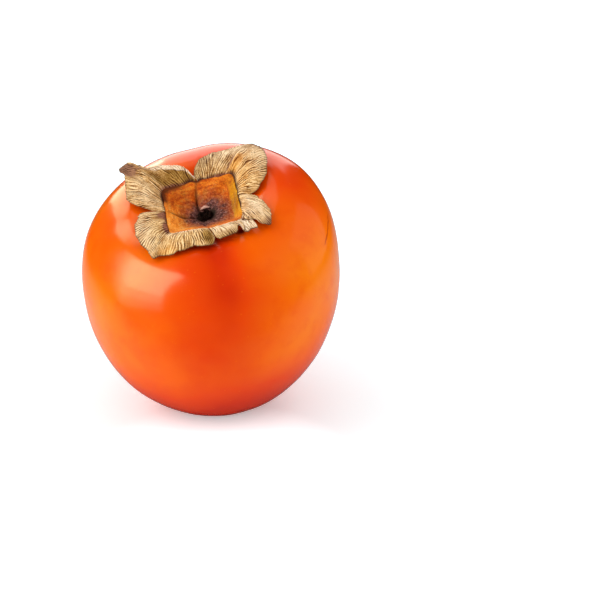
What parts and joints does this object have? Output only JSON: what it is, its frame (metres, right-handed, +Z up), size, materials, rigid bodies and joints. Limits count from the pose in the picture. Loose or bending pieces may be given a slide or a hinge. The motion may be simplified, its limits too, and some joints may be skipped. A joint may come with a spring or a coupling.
{
  "type": "persimmon",
  "caption": "Ripe glossy persimmon resting on a small flat spot, with a dished square calyx, curled dry sepals and a broken stem stub.",
  "frame": {"origin": "middle of the small flat spot that the fruit rests on", "axes": "+Z up; the fruit leans so that its calyx faces up and towards -Y, a little towards -X"},
  "size_m": [0.0772, 0.083, 0.0787],
  "materials": {
    "skin": "glossy waxy orange-red fruit skin",
    "cup": "dried ochre and brown calyx, matt",
    "sepal": "dry tan sepal, papery, finely wrinkled",
    "stem": "dark broken stem wood, rough"
  },
  "bodies": {
    "root": {"fruit": "skin", "calyx_cup": "cup", "sepal_back_left": "sepal", "sepal_back_right": "sepal", "sepal_front_right": "sepal", "sepal_front_left": "sepal", "stem_stub": "stem"}
  },
  "joints": []
}
